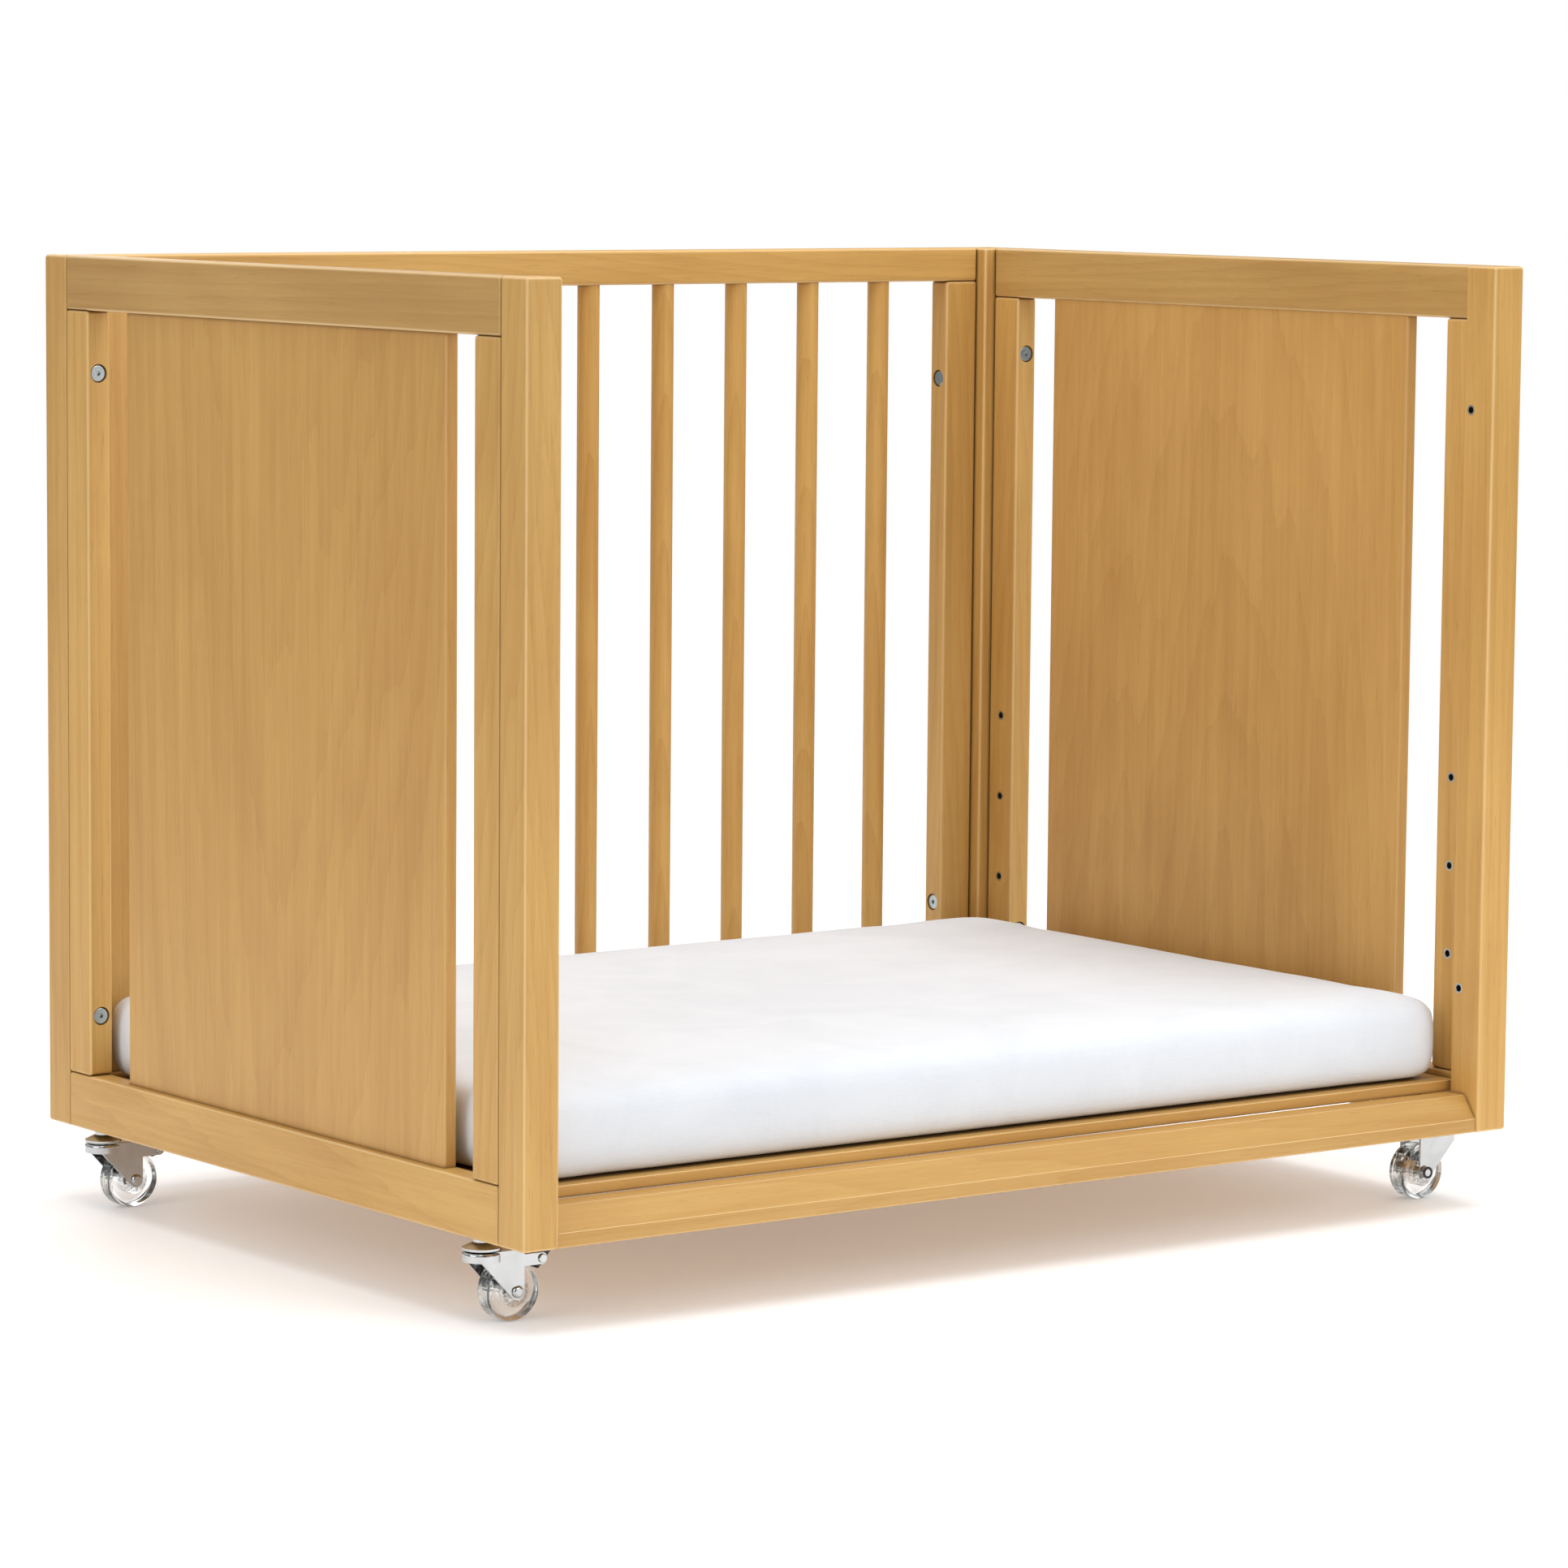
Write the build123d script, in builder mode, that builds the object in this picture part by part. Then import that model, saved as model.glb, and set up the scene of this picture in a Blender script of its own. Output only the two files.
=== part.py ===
"""Wooden playpen on four braked swivel casters: two panelled ends, a spindle back and an open front.

Frame: origin on the floor under the middle of the pen, +X along the length (left to right when
seen from the open front), +Y from the front to the back, +Z up. Millimetres.
"""
import os

from build123d import *

os.makedirs("parts", exist_ok=True)

# ---------------------------------------------------------------- driving dimensions (mm)
length = 1016.0             # outside, post face to post face, along X
width = 731.0               # outside, post face to post face, along Y
post_height = 740.0
wood_base = 67.0            # floor to the underside of the woodwork
edge_round = 3.0            # rounding on every long timber edge

post_x, post_y = 33.0, 36.0
end_thick = 22.0            # end frames, flush with the outside of the posts
end_top_high = 45.5
end_bottom_high = 47.0
end_stile_wide = 36.0
panel_wide, panel_thick = 486.0, 12.0
panel_recess = 8.0          # panel face behind the outside of the rails
panel_tongue = 8.0          # how far the panel runs into the rail grooves

back_thick = 24.0
back_rail_high = 31.0
back_stile_wide = 36.0
spindle_count = 10
spindle_diameter = 20.0
spindle_tenon = 10.0

stretcher_high, stretcher_deep = 31.0, 36.5
stretcher_setback = 2.5     # stretcher face behind the post faces
stretcher_round = 1.5
chamfer_flat, chamfer_foot = 13.5, 11.6    # depth of the sloping face, height where it starts

board_thick = 9.5
board_gap = 1.0             # board to the stretcher and to the posts
board_round = 1.0
ledge_wide, ledge_high, ledge_long = 20.0, 20.0, 560.0
ledge_round = 2.0
ledge_screw_ys = (-220.0, 0.0, 220.0)
mattress_thick = 70.0
mattress_gap = 2.5          # mattress to the end frames
mattress_back_gap = 7.5     # mattress to the back frame
mattress_rest_gap = 0.3     # mattress to the board it lies on
mattress_corner, mattress_edge = 24.0, 14.0

insert_radius, insert_long, insert_bore = 4.5, 14.0, 3.0
insert_spare = 1.0          # drilled depth beyond an insert
bolt_radius = 2.95
bolt_clear = 3.5            # radius of the clearance hole through a stile
bolt_short = 2.0            # how far a bolt stops short of the end of its insert
head_radius, head_thick, head_round = 7.0, 3.2, 0.8
sink_radius, sink_deep = 7.8, 4.4
hex_across, hex_deep = 4.0, 2.2
end_bolt_inset = 98.0       # end frame bolts, from the top and from the bottom of the posts
back_bolt_inset = 122.0     # back frame bolts and gate inserts, likewise
gate_insert_setback = 27.0  # gate inserts behind the front of the post
height_levels = (148.0, 224.5, 301.0)      # mattress height inserts above the woodwork's underside
dowel_radius, dowel_long = 4.0, 44.0
screw_radius, screw_long = 2.0, 34.0
screw_head_radius, screw_head_thick = 4.0, 2.0

caster_inset = 74.0         # swivel axis from the front and back faces
socket_radius, socket_deep = 6.0, 38.0
stem_radius = 4.0
stem_socket_clear = 0.1
stem_short = 3.0            # how far a stem stops short of the end of its socket
cap_radius = 15.7           # domed cap over the swivel
cap_low, cap_rim, cap_high = 58.0, 2.0, 64.2
neck_radius = 7.0
rivet_radius, rivet_low, rivet_high = 6.5, 52.4, 54.7
wheel_radius, wheel_wide = 24.0, 20.0
wheel_round = 4.5
rim_radius = 12.5           # hub meets tyre
trail = 24.5                # swivel axis to axle
axle_radius = 3.0
running_clear = 0.06        # radial clearance of everything that turns
hub_inset = 1.0             # hub's rim in from the tyre's side
hub_wall = 2.0
hub_boss_radius, hub_boss_proud, hub_web = 6.0, 0.6, 8.0
rib_count, rib_thick = 6, 1.6
fork_gauge = 2.0
fork_inner = 11.2           # inside of a fork leg from the wheel's mid plane
crown_low, fork_top = 49.2, 57.0
crown_round = 2.6           # rolled edge of the crown
crown_wall = 1.6
fork_front = -8.0
fork_toe = 6.5              # radius of the leg's foot round the axle
toe_tangent = (0.74, 0.67)  # where the leg's slanted edge meets its foot, as shares of fork_toe
lug_radius = 4.6
axle_head_radius, axle_head_thick = 5.0, 2.8
pin_radius = 2.0
pin_head_radius, pin_head_thick = 3.6, 1.8
pin_out, pin_high = 47.5, 48.0             # brake pin from the swivel axis and above the floor
pedal_travel = 30.0         # degrees
pedal_down = {"front_left": 0.0, "rear_left": pedal_travel}    # how far each is drawn trodden
shoe_gap = 0.8              # shoe to tyre with the pedal right down
pedal_half = 10.6
pedal_outline = ((-1.5, 4.4), (6.5, 6.5), (12.5, 11.5), (26.5, 13.5), (26.9, 10.6), (13.7, 8.6), (8, 3.4), (3, -3.4))
shoe_outline = ((-4.4, 0), (4, -2))        # the shoe's root on the boss, from the pin

# ---------------------------------------------------------------- derived places
half_x, half_y = length / 2, width / 2
top = wood_base + post_height
post_in_x = half_x - post_x                # faces of the posts that look into the pen
post_in_y = half_y - post_y
end_in = half_x - end_thick                # inside faces of the end and back frames
back_in = half_y - back_thick
end_mid = half_x - end_thick / 2
back_mid = half_y - back_thick / 2
front_stile_y = -post_in_y + end_stile_wide / 2
rear_stile_y = post_in_y - end_stile_wide / 2
end_bolts = (wood_base + end_bolt_inset, top - end_bolt_inset)
back_bolts = (wood_base + back_bolt_inset, top - back_bolt_inset)
levels = tuple(wood_base + level for level in height_levels)
gate_y = -half_y + gate_insert_setback
caster_y = half_y - caster_inset
board_front = -half_y + stretcher_setback + stretcher_deep + board_gap
board_top = wood_base + stretcher_high + board_thick
spindle_gap = (2 * (post_in_x - back_stile_wide) - spindle_count * spindle_diameter) / (spindle_count + 1)
spindle_pitch = spindle_gap + spindle_diameter


def save(piece, name):
    """Label a finished piece and write it as one STEP file."""
    piece.part.label = name
    export_step(piece.part, f"parts/{name}.step")


def timber(x_range, y_range, z_range, radius=edge_round, edges=None):
    """A bar between two corners with its edges rounded, added to the current part."""
    spans = [abs(high - low) for low, high in (x_range, y_range, z_range)]
    centre = [(low + high) / 2 for low, high in (x_range, y_range, z_range)]
    with Locations(tuple(centre)):
        bar = Box(*spans)
    fillet(bar.edges() if edges is None else bar.edges().filter_by(edges), radius)


def along_x(x, y, z, side):
    """A plane at a point whose normal looks along X, towards +X for side 1 and -X for side -1."""
    return Plane(origin=(x, y, z), x_dir=(0, side, 0), z_dir=(side, 0, 0))


def along_y(x, y, z, side):
    """A plane at a point whose normal looks along Y, towards +Y for side 1 and -Y for side -1."""
    return Plane(origin=(x, y, z), x_dir=(-side, 0, 0), z_dir=(0, side, 0))


def along_z(x, y, z, side):
    """A plane at a point whose normal looks up for side 1 and down for side -1."""
    return Plane(origin=(x, y, z), x_dir=(1, 0, 0), z_dir=(0, 0, side))


def peg(plane, radius, reach, mode=Mode.ADD):
    """A round rod, or a drilled hole, from a plane along its normal."""
    with Locations(plane):
        return Cylinder(radius, reach, align=(Align.CENTER, Align.CENTER, Align.MIN), mode=mode)


# ---------------------------------------------------------------- where the fasteners go
# Each place is a plane at a timber face. Its normal points into the timber that is drilled.
def stile_bolt_heads(end):
    """Heads of one end frame's bolts, on the stile faces that look at each other."""
    heads = []
    for z in end_bolts:
        heads.append(along_y(end * end_mid, front_stile_y + end_stile_wide / 2, z, -1))
        heads.append(along_y(end * end_mid, rear_stile_y - end_stile_wide / 2, z, 1))
    return heads


def back_bolt_heads(end):
    """Heads of the back frame's bolts on one back stile."""
    return [along_x(end * (post_in_x - back_stile_wide), back_mid, z, end) for z in back_bolts]


def post_insert_places(end, back):
    """Inserts in one post: two behind the end frame, two behind the back frame or for a gate."""
    side_y = back_mid if back > 0 else gate_y
    places = [along_y(end * end_mid, back * post_in_y, z, back) for z in end_bolts]
    return places + [along_x(end * post_in_x, side_y, z, end) for z in back_bolts]


def height_insert_places(end, stile_y):
    """Mattress height inserts on the inside face of one end stile."""
    return [along_x(end * end_in, stile_y, z, end) for z in levels]


def ledge_screw_places(end):
    """Screws that hold a board ledge to the end's bottom rail, from the ledge's inside face."""
    height = board_top - board_thick - ledge_high / 2
    return [along_x(end * (end_in - ledge_wide), y, height, end) for y in ledge_screw_ys]


def stretcher_dowel_places(end):
    """Two dowels where the front stretcher meets a post, from the joint into the post."""
    return [along_x(end * post_in_x, -half_y + out, wood_base + up, end) for out, up in ((17, 9), (31, 21))]


corners = {
    "front_left": (-1, -1),
    "front_right": (1, -1),
    "rear_left": (-1, 1),
    "rear_right": (1, 1),
}
ends = {"left": -1, "right": 1}

# ---------------------------------------------------------------- corner posts
for corner, (end, back) in corners.items():
    with BuildPart() as post:
        timber(
            (end * post_in_x, end * half_x),
            (back * post_in_y, back * half_y),
            (wood_base, top),
        )
        for place in post_insert_places(end, back):
            peg(place, insert_radius, insert_long + insert_spare, mode=Mode.SUBTRACT)
        if back < 0:
            for place in stretcher_dowel_places(end):
                peg(place, dowel_radius, dowel_long / 2, mode=Mode.SUBTRACT)
    save(post, f"{corner}_post")

# ---------------------------------------------------------------- end frames
panel_low = wood_base + end_bottom_high
panel_high = top - end_top_high
panel_mid = half_x - panel_recess - panel_thick / 2
end_joints = [(stile_y, z) for stile_y in (front_stile_y, rear_stile_y) for z in (panel_low, panel_high)]

for name, end in ends.items():
    across = (end * end_in, end * half_x)

    with BuildPart() as top_rail:
        timber(across, (-post_in_y, post_in_y), (panel_high, top))
        with Locations((end * panel_mid, 0, panel_high + panel_tongue / 2)):
            Box(panel_thick, panel_wide, panel_tongue, mode=Mode.SUBTRACT)
        for stile_y in (front_stile_y, rear_stile_y):
            peg(along_z(end * end_mid, stile_y, panel_high, 1), dowel_radius, dowel_long / 2, mode=Mode.SUBTRACT)
    save(top_rail, f"{name}_end_top_rail")

    with BuildPart() as bottom_rail:
        timber(across, (-post_in_y, post_in_y), (wood_base, panel_low))
        with Locations((end * panel_mid, 0, panel_low - panel_tongue / 2)):
            Box(panel_thick, panel_wide, panel_tongue, mode=Mode.SUBTRACT)
        for stile_y in (front_stile_y, rear_stile_y):
            peg(along_z(end * end_mid, stile_y, panel_low, -1), dowel_radius, dowel_long / 2, mode=Mode.SUBTRACT)
        for back in (-1, 1):
            peg(along_z(end * end_mid, back * caster_y, wood_base, 1), socket_radius, socket_deep, mode=Mode.SUBTRACT)
        for place in ledge_screw_places(end):
            peg(place, screw_radius, screw_long, mode=Mode.SUBTRACT)
    save(bottom_rail, f"{name}_end_bottom_rail")

    for stile, stile_y in (("front", front_stile_y), ("rear", rear_stile_y)):
        with BuildPart() as end_stile:
            half_stile = end_stile_wide / 2
            timber(across, (stile_y - half_stile, stile_y + half_stile), (panel_low, panel_high))
            for head in stile_bolt_heads(end):
                if abs(head.origin.Y - stile_y) <= half_stile:
                    peg(head, sink_radius, sink_deep, mode=Mode.SUBTRACT)
                    peg(head, bolt_clear, end_stile_wide, mode=Mode.SUBTRACT)
            for place in height_insert_places(end, stile_y):
                peg(place, insert_radius, insert_long + insert_spare, mode=Mode.SUBTRACT)
            for z, side in ((panel_low, 1), (panel_high, -1)):
                peg(along_z(end * end_mid, stile_y, z, side), dowel_radius, dowel_long / 2, mode=Mode.SUBTRACT)
        save(end_stile, f"{name}_end_{stile}_stile")

    with BuildPart() as panel:
        timber(
            (end * (panel_mid - panel_thick / 2), end * (panel_mid + panel_thick / 2)),
            (-panel_wide / 2, panel_wide / 2),
            (panel_low - panel_tongue, panel_high + panel_tongue),
            edges=Axis.Z,
        )
    save(panel, f"{name}_end_panel")

# ---------------------------------------------------------------- spindle back
spindle_low = wood_base + back_rail_high
spindle_high = top - back_rail_high
spindle_grid = GridLocations(spindle_pitch, 0, spindle_count, 1)
spindle_spots = [(spot.position.X, back_mid) for spot in spindle_grid]
back_stile_x = post_in_x - back_stile_wide / 2

for name, z_range, joint, side in (
    ("back_top_rail", (spindle_high, top), spindle_high, 1),
    ("back_bottom_rail", (wood_base, spindle_low), spindle_low, -1),
):
    with BuildPart() as back_rail:
        timber((-post_in_x, post_in_x), (back_in, half_y), z_range)
        for x, y in spindle_spots:
            peg(along_z(x, y, joint, side), spindle_diameter / 2, spindle_tenon, mode=Mode.SUBTRACT)
        for end in ends.values():
            peg(along_z(end * back_stile_x, back_mid, joint, side), dowel_radius, dowel_long / 2, mode=Mode.SUBTRACT)
    save(back_rail, name)

for name, end in ends.items():
    with BuildPart() as back_stile:
        timber((end * (post_in_x - back_stile_wide), end * post_in_x), (back_in, half_y), (spindle_low, spindle_high))
        for head in back_bolt_heads(end):
            peg(head, sink_radius, sink_deep, mode=Mode.SUBTRACT)
            peg(head, bolt_clear, back_stile_wide, mode=Mode.SUBTRACT)
        for z, side in ((spindle_low, 1), (spindle_high, -1)):
            peg(along_z(end * back_stile_x, back_mid, z, side), dowel_radius, dowel_long / 2, mode=Mode.SUBTRACT)
    save(back_stile, f"back_{name}_stile")

with BuildPart() as spindles:
    for x, y in spindle_spots:
        spindle_long = spindle_high - spindle_low + 2 * spindle_tenon
        peg(along_z(x, y, spindle_low - spindle_tenon, 1), spindle_diameter / 2, spindle_long)
save(spindles, "back_spindles")

# ---------------------------------------------------------------- front stretcher with its sloping face
with BuildPart() as stretcher:
    face_y = -half_y + stretcher_setback
    with BuildSketch(along_x(-post_in_x, 0, 0, 1)):
        with BuildLine():
            Polyline(
                (face_y, wood_base),
                (face_y + stretcher_deep, wood_base),
                (face_y + stretcher_deep, wood_base + stretcher_high),
                (face_y + chamfer_flat, wood_base + stretcher_high),
                (face_y, wood_base + chamfer_foot),
                close=True,
            )
        make_face()
    extrude(amount=2 * post_in_x)
    fillet(stretcher.edges().filter_by(Axis.X), stretcher_round)
    for end in ends.values():
        for place in stretcher_dowel_places(end):
            peg(place.offset(-dowel_long / 2), dowel_radius, dowel_long, mode=Mode.SUBTRACT)
save(stretcher, "front_stretcher")

# ---------------------------------------------------------------- mattress board, its ledges, mattress
with BuildPart() as board:
    board_half = end_in - board_gap
    timber(
        (-board_half, board_half),
        (board_front, back_in - board_gap),
        (board_top - board_thick, board_top),
        radius=board_round,
    )
    for end in (-1, 1):
        with Locations((end * board_half, back_in, board_top)):
            Box(
                2 * (board_half - post_in_x + board_gap),
                2 * (back_in - post_in_y + board_gap),
                2 * board_thick,
                mode=Mode.SUBTRACT,
            )
save(board, "mattress_board")

for name, end in ends.items():
    with BuildPart() as ledge:
        ledge_top = board_top - board_thick
        timber(
            (end * (end_in - ledge_wide), end * end_in),
            (-ledge_long / 2, ledge_long / 2),
            (ledge_top - ledge_high, ledge_top),
            radius=ledge_round,
        )
        for place in ledge_screw_places(end):
            peg(place, screw_radius, ledge_wide, mode=Mode.SUBTRACT)
            peg(place, screw_head_radius, screw_head_thick, mode=Mode.SUBTRACT)
    save(ledge, f"{name}_board_ledge")

with BuildPart() as mattress:
    mattress_low = board_top + mattress_rest_gap
    mattress_back = back_in - mattress_back_gap
    with BuildSketch(Plane.XY.offset(mattress_low)):
        with Locations((0, (board_front + mattress_back) / 2)):
            RectangleRounded(2 * (end_in - mattress_gap), mattress_back - board_front, mattress_corner)
    extrude(amount=mattress_thick)
    fillet(mattress.faces().filter_by(Axis.Z).edges(), mattress_edge)
save(mattress, "mattress")

# ---------------------------------------------------------------- fasteners
def draw_bolt(head, timber_wide):
    """A flat-headed socket bolt from its counterbore through a stile and into an insert."""
    face = head.offset(sink_deep - head_thick)
    cap = peg(face, head_radius, head_thick)
    fillet(cap.edges().sort_by(lambda edge: abs(face.to_local_coords(edge.center()).Z))[0], head_round)
    peg(head.offset(sink_deep), bolt_radius, timber_wide - sink_deep + insert_long - bolt_short)
    with BuildSketch(face) as key:
        RegularPolygon(hex_across / 2, 6, major_radius=False)
    extrude(key.sketch, amount=hex_deep, mode=Mode.SUBTRACT)


with BuildPart() as end_frame_bolts:
    for end in ends.values():
        for head in stile_bolt_heads(end):
            draw_bolt(head, end_stile_wide)
save(end_frame_bolts, "end_frame_bolts")

with BuildPart() as back_frame_bolts:
    for end in ends.values():
        for head in back_bolt_heads(end):
            draw_bolt(head, back_stile_wide)
save(back_frame_bolts, "back_frame_bolts")

with BuildPart() as post_inserts:
    for end, back in corners.values():
        for place in post_insert_places(end, back):
            peg(place, insert_radius, insert_long)
            peg(place, insert_bore, insert_long, mode=Mode.SUBTRACT)
save(post_inserts, "post_inserts")

with BuildPart() as height_inserts:
    for end in ends.values():
        for stile_y in (front_stile_y, rear_stile_y):
            for place in height_insert_places(end, stile_y):
                peg(place, insert_radius, insert_long)
                peg(place, insert_bore, insert_long, mode=Mode.SUBTRACT)
save(height_inserts, "height_inserts")

with BuildPart() as frame_dowels:
    for end in ends.values():
        for stile_y, z in end_joints:
            peg(along_z(end * end_mid, stile_y, z - dowel_long / 2, 1), dowel_radius, dowel_long)
        for z in (spindle_low, spindle_high):
            peg(along_z(end * back_stile_x, back_mid, z - dowel_long / 2, 1), dowel_radius, dowel_long)
        for place in stretcher_dowel_places(end):
            peg(place.offset(-dowel_long / 2), dowel_radius, dowel_long)
save(frame_dowels, "frame_dowels")

with BuildPart() as ledge_screws:
    for end in ends.values():
        for place in ledge_screw_places(end):
            peg(place, screw_head_radius, screw_head_thick)
            peg(place, screw_radius, screw_long)
save(ledge_screws, "ledge_screws")

with BuildPart() as caster_sockets:
    for end, back in corners.values():
        mouth = along_z(end * end_mid, back * caster_y, wood_base, 1)
        peg(mouth, socket_radius, socket_deep)
        peg(mouth, stem_radius + stem_socket_clear, socket_deep - stem_short + 1, mode=Mode.SUBTRACT)
save(caster_sockets, "caster_sockets")


# ---------------------------------------------------------------- casters
# A caster is drawn in its wheel's mid plane: the first number is the distance from the swivel
# axis in the trailing direction, which is towards the middle of the pen, the second is the height.
def side_plane(end, back, out=0.0, at=(0.0, 0.0)):
    """The wheel's mid plane, moved sideways by out, with its origin at a point of the caster."""
    origin = (end * end_mid - end * at[0], back * caster_y + end * out, at[1])
    return Plane(origin=origin, x_dir=(-end, 0, 0), z_dir=(0, end, 0))


def draw_stem(end, back):
    """Stem with its rivet head and the domed cap over the swivel, whose neck meets the woodwork."""
    foot = along_z(end * end_mid, back * caster_y, rivet_low, 1)
    peg(foot, stem_radius, wood_base + socket_deep - stem_short - rivet_low)
    peg(foot, rivet_radius, rivet_high - rivet_low)
    cap_plane = foot.offset(cap_low - rivet_low)
    rim = peg(cap_plane, cap_radius, cap_rim)
    fillet(rim.edges().filter_by(GeomType.CIRCLE).sort_by(Axis.Z)[0], 0.6)
    with Locations(cap_plane.offset(cap_rim)):
        Cone(
            cap_radius,
            neck_radius,
            cap_high - cap_low - cap_rim,
            align=(Align.CENTER, Align.CENTER, Align.MIN),
        )
    peg(cap_plane, neck_radius, wood_base - cap_low)


def draw_fork(end, back, braked):
    """Pressed fork: a round crown with a rolled edge, two legs to the axle and lugs for a brake."""
    leg_rear = trail + fork_toe
    crown_plane = along_z(end * end_mid, back * caster_y, crown_low, 1)
    crown = peg(crown_plane, cap_radius, fork_top - crown_low)
    fillet(crown.edges().filter_by(GeomType.CIRCLE).sort_by(Axis.Z)[-1], crown_round)
    peg(crown_plane, cap_radius - crown_wall, fork_top - fork_gauge - crown_low, mode=Mode.SUBTRACT)
    for out in (fork_inner, -fork_inner - fork_gauge):
        with BuildSketch(side_plane(end, back, out)) as leg:
            with BuildLine():
                Polyline(
                    (fork_front, fork_top - crown_round),
                    (0, fork_top),
                    (leg_rear, fork_top),
                    (leg_rear, wheel_radius),
                    (trail, wheel_radius),
                    (trail - toe_tangent[0] * fork_toe, wheel_radius - toe_tangent[1] * fork_toe),
                    (fork_front, crown_low),
                    close=True,
                )
            make_face()
            with Locations((trail, wheel_radius)):
                Circle(fork_toe)
            if braked:
                with Locations((pin_out, pin_high)):
                    Circle(lug_radius)
                with Locations(((trail + pin_out) / 2, pin_high)):
                    Rectangle(pin_out - trail, 2 * lug_radius)
        extrude(leg.sketch, amount=fork_gauge)
    with BuildSketch(Plane.XY.offset(fork_top - fork_gauge)) as plate:
        with Locations((end * end_mid - end * leg_rear / 2, back * caster_y)):
            Rectangle(leg_rear, 2 * (fork_inner + fork_gauge))
    extrude(plate.sketch, amount=fork_gauge)
    peg(crown_plane, stem_radius + running_clear, fork_top - crown_low, mode=Mode.SUBTRACT)
    reach = fork_inner + fork_gauge
    peg(side_plane(end, back, -reach, (trail, wheel_radius)), axle_radius, 2 * reach, mode=Mode.SUBTRACT)
    if braked:
        peg(side_plane(end, back, -reach, (pin_out, pin_high)), pin_radius, 2 * reach, mode=Mode.SUBTRACT)


def draw_tyre(hub_plane):
    """Clear tyre with well rounded shoulders."""
    side = hub_plane.offset(-wheel_wide / 2)
    tread = peg(side, wheel_radius, wheel_wide)
    fillet(tread.edges().filter_by(GeomType.CIRCLE), wheel_round)
    peg(side, rim_radius, wheel_wide, mode=Mode.SUBTRACT)


def draw_hub(hub_plane):
    """Clear hub: a rim, a web with ribs on both sides and a boss bored for the axle."""
    half = wheel_wide / 2 - hub_inset
    peg(hub_plane.offset(-half), rim_radius, 2 * half)
    dish = half - hub_web / 2
    for start in (hub_web / 2, -half):
        peg(hub_plane.offset(start), rim_radius - hub_wall, dish, mode=Mode.SUBTRACT)
    with Locations(hub_plane):
        with PolarLocations(0, rib_count):
            rib_long = rim_radius - hub_wall / 2
            Box(rib_long, rib_thick, 2 * half, align=(Align.MIN, Align.CENTER, Align.CENTER))
    boss = wheel_wide / 2 + hub_boss_proud
    peg(hub_plane.offset(-boss), hub_boss_radius, 2 * boss)
    peg(hub_plane.offset(-boss), axle_radius + running_clear, 2 * boss, mode=Mode.SUBTRACT)


def draw_axle(hub_plane):
    """Axle with a domed head outside one fork leg and a nut outside the other."""
    reach = fork_inner + fork_gauge
    peg(hub_plane.offset(-reach), axle_radius, 2 * reach)
    outer = hub_plane.offset(reach)
    head = peg(outer, axle_head_radius, axle_head_thick)
    rims = head.edges().filter_by(GeomType.CIRCLE)
    fillet(rims.sort_by(lambda edge: outer.to_local_coords(edge.center()).Z)[-1], axle_head_thick - 0.5)
    with BuildSketch(hub_plane.offset(-reach - axle_head_thick)) as nut:
        Circle(axle_head_radius)
    extrude(nut.sketch, amount=axle_head_thick)
    with BuildSketch(hub_plane.offset(-reach - axle_head_thick)) as ring:
        Circle(axle_head_radius - 1.2)
        Circle(axle_radius, mode=Mode.SUBTRACT)
    extrude(ring.sketch, amount=1.2, mode=Mode.SUBTRACT)


def draw_brake_pin(pin_plane):
    """Pin across the lugs with a flat round head at each end."""
    reach = fork_inner + fork_gauge
    peg(pin_plane.offset(-reach), pin_radius, 2 * reach)
    for face in (reach, -reach - pin_head_thick):
        rivet = peg(pin_plane.offset(face), pin_head_radius, pin_head_thick)
        fillet(rivet.edges().filter_by(GeomType.CIRCLE), 0.6)


def draw_pedal(pin_plane, trodden):
    """Brake pedal: a blade to tread on, a boss on the pin and a shoe that swings to the tyre."""
    outward = pin_plane.x_dir.rotate(Axis((0, 0, 0), pin_plane.z_dir), -trodden)
    side = Plane(origin=pin_plane.origin, x_dir=outward, z_dir=pin_plane.z_dir).offset(-pedal_half)
    to_axle = Vector(trail - pin_out, wheel_radius - pin_high)
    shoe_reach = to_axle.length - wheel_radius - shoe_gap
    shoe = to_axle.normalized().rotate(Axis.Z, pedal_travel) * shoe_reach
    with BuildSketch(side) as lever:
        Circle(lug_radius)
        with BuildLine():
            Polyline(shoe_outline[0], (shoe.X, shoe.Y), shoe_outline[1], close=True)
        make_face()
        with BuildLine():
            Polyline(*pedal_outline, close=True)
        make_face()
    extrude(lever.sketch, amount=2 * pedal_half)
    peg(side, pin_radius + running_clear, 2 * pedal_half, mode=Mode.SUBTRACT)


for corner, (end, back) in corners.items():
    hub_plane = side_plane(end, back, at=(trail, wheel_radius))
    pin_plane = side_plane(end, back, at=(pin_out, pin_high))

    with BuildPart() as stem:
        draw_stem(end, back)
    save(stem, f"{corner}_caster_stem")

    with BuildPart() as fork:
        draw_fork(end, back, corner in pedal_down)
    save(fork, f"{corner}_caster_fork")

    with BuildPart() as tyre:
        draw_tyre(hub_plane)
    save(tyre, f"{corner}_caster_tyre")

    with BuildPart() as hub:
        draw_hub(hub_plane)
    save(hub, f"{corner}_caster_hub")

    with BuildPart() as axle:
        draw_axle(hub_plane)
    save(axle, f"{corner}_caster_axle")

    if corner in pedal_down:
        with BuildPart() as brake_pin:
            draw_brake_pin(pin_plane)
        save(brake_pin, f"{corner}_brake_pin")

        with BuildPart() as pedal:
            draw_pedal(pin_plane, pedal_down[corner])
        save(pedal, f"{corner}_brake_pedal")
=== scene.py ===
import math

import bmesh
import bpy
from mathutils import Matrix, Vector


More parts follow.
